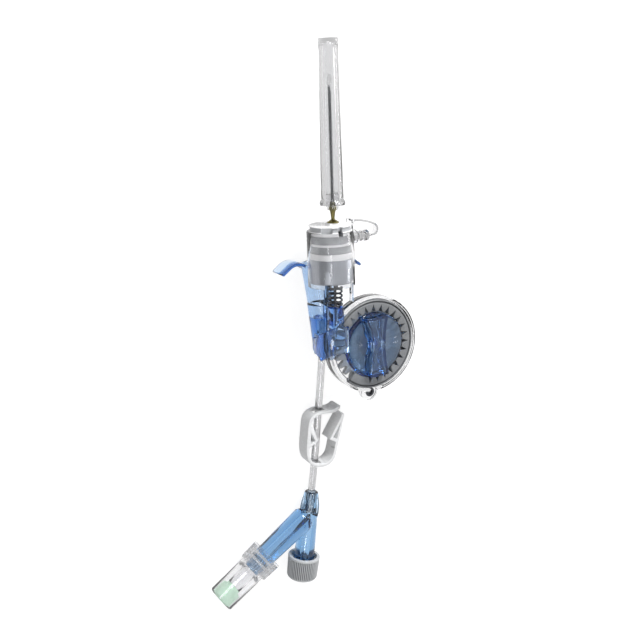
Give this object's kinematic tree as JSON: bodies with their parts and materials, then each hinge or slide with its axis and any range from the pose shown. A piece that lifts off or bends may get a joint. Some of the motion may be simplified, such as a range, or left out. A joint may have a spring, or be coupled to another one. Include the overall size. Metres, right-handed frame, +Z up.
{
  "type": "iv cannula",
  "caption": "Winged over-the-needle cannula with a spring plunger, a dial that feeds a guide wire, and a clamped extension tube ending in a capped Y connector.",
  "frame": {"origin": "on the surface the set lies on, straight below the needle axis and level with the dial's axle", "axes": "+Y along the needle towards its tip, +X towards the dial, +Z up from the table"},
  "size_m": [0.0727, 0.1791, 0.0204],
  "materials": {
    "clear_plastic": "clear polycarbonate, polished mould",
    "catheter_polymer": "extruded fluoropolymer, translucent",
    "needle_steel": "drawn stainless steel",
    "spring_steel": "coiled stainless wire",
    "satin_steel": "satin drawn cup",
    "brass": "turned brass, dull",
    "white_plastic": "moulded, light gloss",
    "soft_clear": "soft clear elastomer",
    "blue_plastic": "tinted clear polycarbonate",
    "grey_plastic": "moulded grey",
    "dark_plastic": "moulded dark grey",
    "tubing": "extruded soft clear vinyl",
    "clamp_plastic": "moulded acetal, pale grey",
    "cap_grey": "moulded grey, fine ribs",
    "green_rubber": "matte pale green elastomer"
  },
  "bodies": {
    "base": {"winged_body": "blue_plastic", "barrel_housing": "clear_plastic", "dial_housing": "clear_plastic", "lug_eyelet": "spring_steel", "axle_pin": "blue_plastic", "return_spring": "spring_steel", "tether_strap": "soft_clear", "extension_tube": "tubing", "y_connector": "blue_plastic"},
    "plunger": {"ringed_plunger": "white_plastic", "steel_sleeve": "satin_steel", "crimp_ferrule": "brass", "introducer_needle": "needle_steel"},
    "catheter": {"catheter_hub": "clear_plastic", "catheter_tube": "catheter_polymer"},
    "shield": {"needle_shield": "clear_plastic"},
    "plug": {"port_plug": "soft_clear"},
    "dial": {"dial_knob": "blue_plastic", "drive_gear": "dark_plastic", "index_ring": "grey_plastic", "wire_tail": "needle_steel"},
    "wire": {"guide_wire": "needle_steel"},
    "clamp": {"pinch_clamp": "clamp_plastic"},
    "vent": {"vent_cap": "cap_grey"},
    "cap": {"injection_cap": "clear_plastic", "inner_sleeve": "clear_plastic", "green_stopper": "green_rubber"},
    "collar": {"lock_collar": "clear_plastic"}
  },
  "joints": [
    {"name": "plunger_press", "type": "slide", "parent": "base", "child": "plunger", "axis": [0, 1, 0], "range_m": [-0.0018, 0], "stiffness_N_per_m": 250, "springref_m": 0.0005, "deforming": ["return_spring"]},
    {"name": "catheter_advance", "type": "slide", "parent": "plunger", "child": "catheter", "axis": [0, 1, 0], "range_m": [0, 0.038]},
    {"name": "shield_pull", "type": "slide", "parent": "catheter", "child": "shield", "axis": [0, 1, 0], "range_m": [0, 0.045]},
    {"name": "port_plug_pull", "type": "slide", "parent": "base", "child": "plug", "axis": [1, 0, 0], "range_m": [0, 0.008], "deforming": ["tether_strap"]},
    {"name": "dial_turn", "type": "hinge", "parent": "base", "child": "dial", "pos_m": [0.0133, 0, 0.0151], "axis": [0, 0, 1], "range_deg": [-50, 0]},
    {"name": "wire_feed", "type": "slide", "parent": "base", "child": "wire", "axis": [0, 1, 0], "range_m": [0, 0.01222]},
    {"name": "clamp_slide", "type": "slide", "parent": "base", "child": "clamp", "axis": [-0.1183, -0.993, 0], "range_m": [-0.008, 0.006]},
    {"name": "vent_cap_pull", "type": "slide", "parent": "base", "child": "vent", "axis": [-0.1616, -0.9869, 0], "range_m": [0, 0.01]},
    {"name": "injection_cap_pull", "type": "slide", "parent": "base", "child": "cap", "axis": [-0.8368, -0.5476, 0], "range_m": [0, 0.01]},
    {"name": "lock_collar_turn", "type": "hinge", "parent": "cap", "child": "collar", "pos_m": [-0.00741, -0.05889, 0.00585], "axis": [-0.8368, -0.5476, 0], "continuous": true}
  ],
  "couplings": [
    {"joint": "wire_feed", "follows": "dial_turn", "m_per_rad": -0.014}
  ]
}
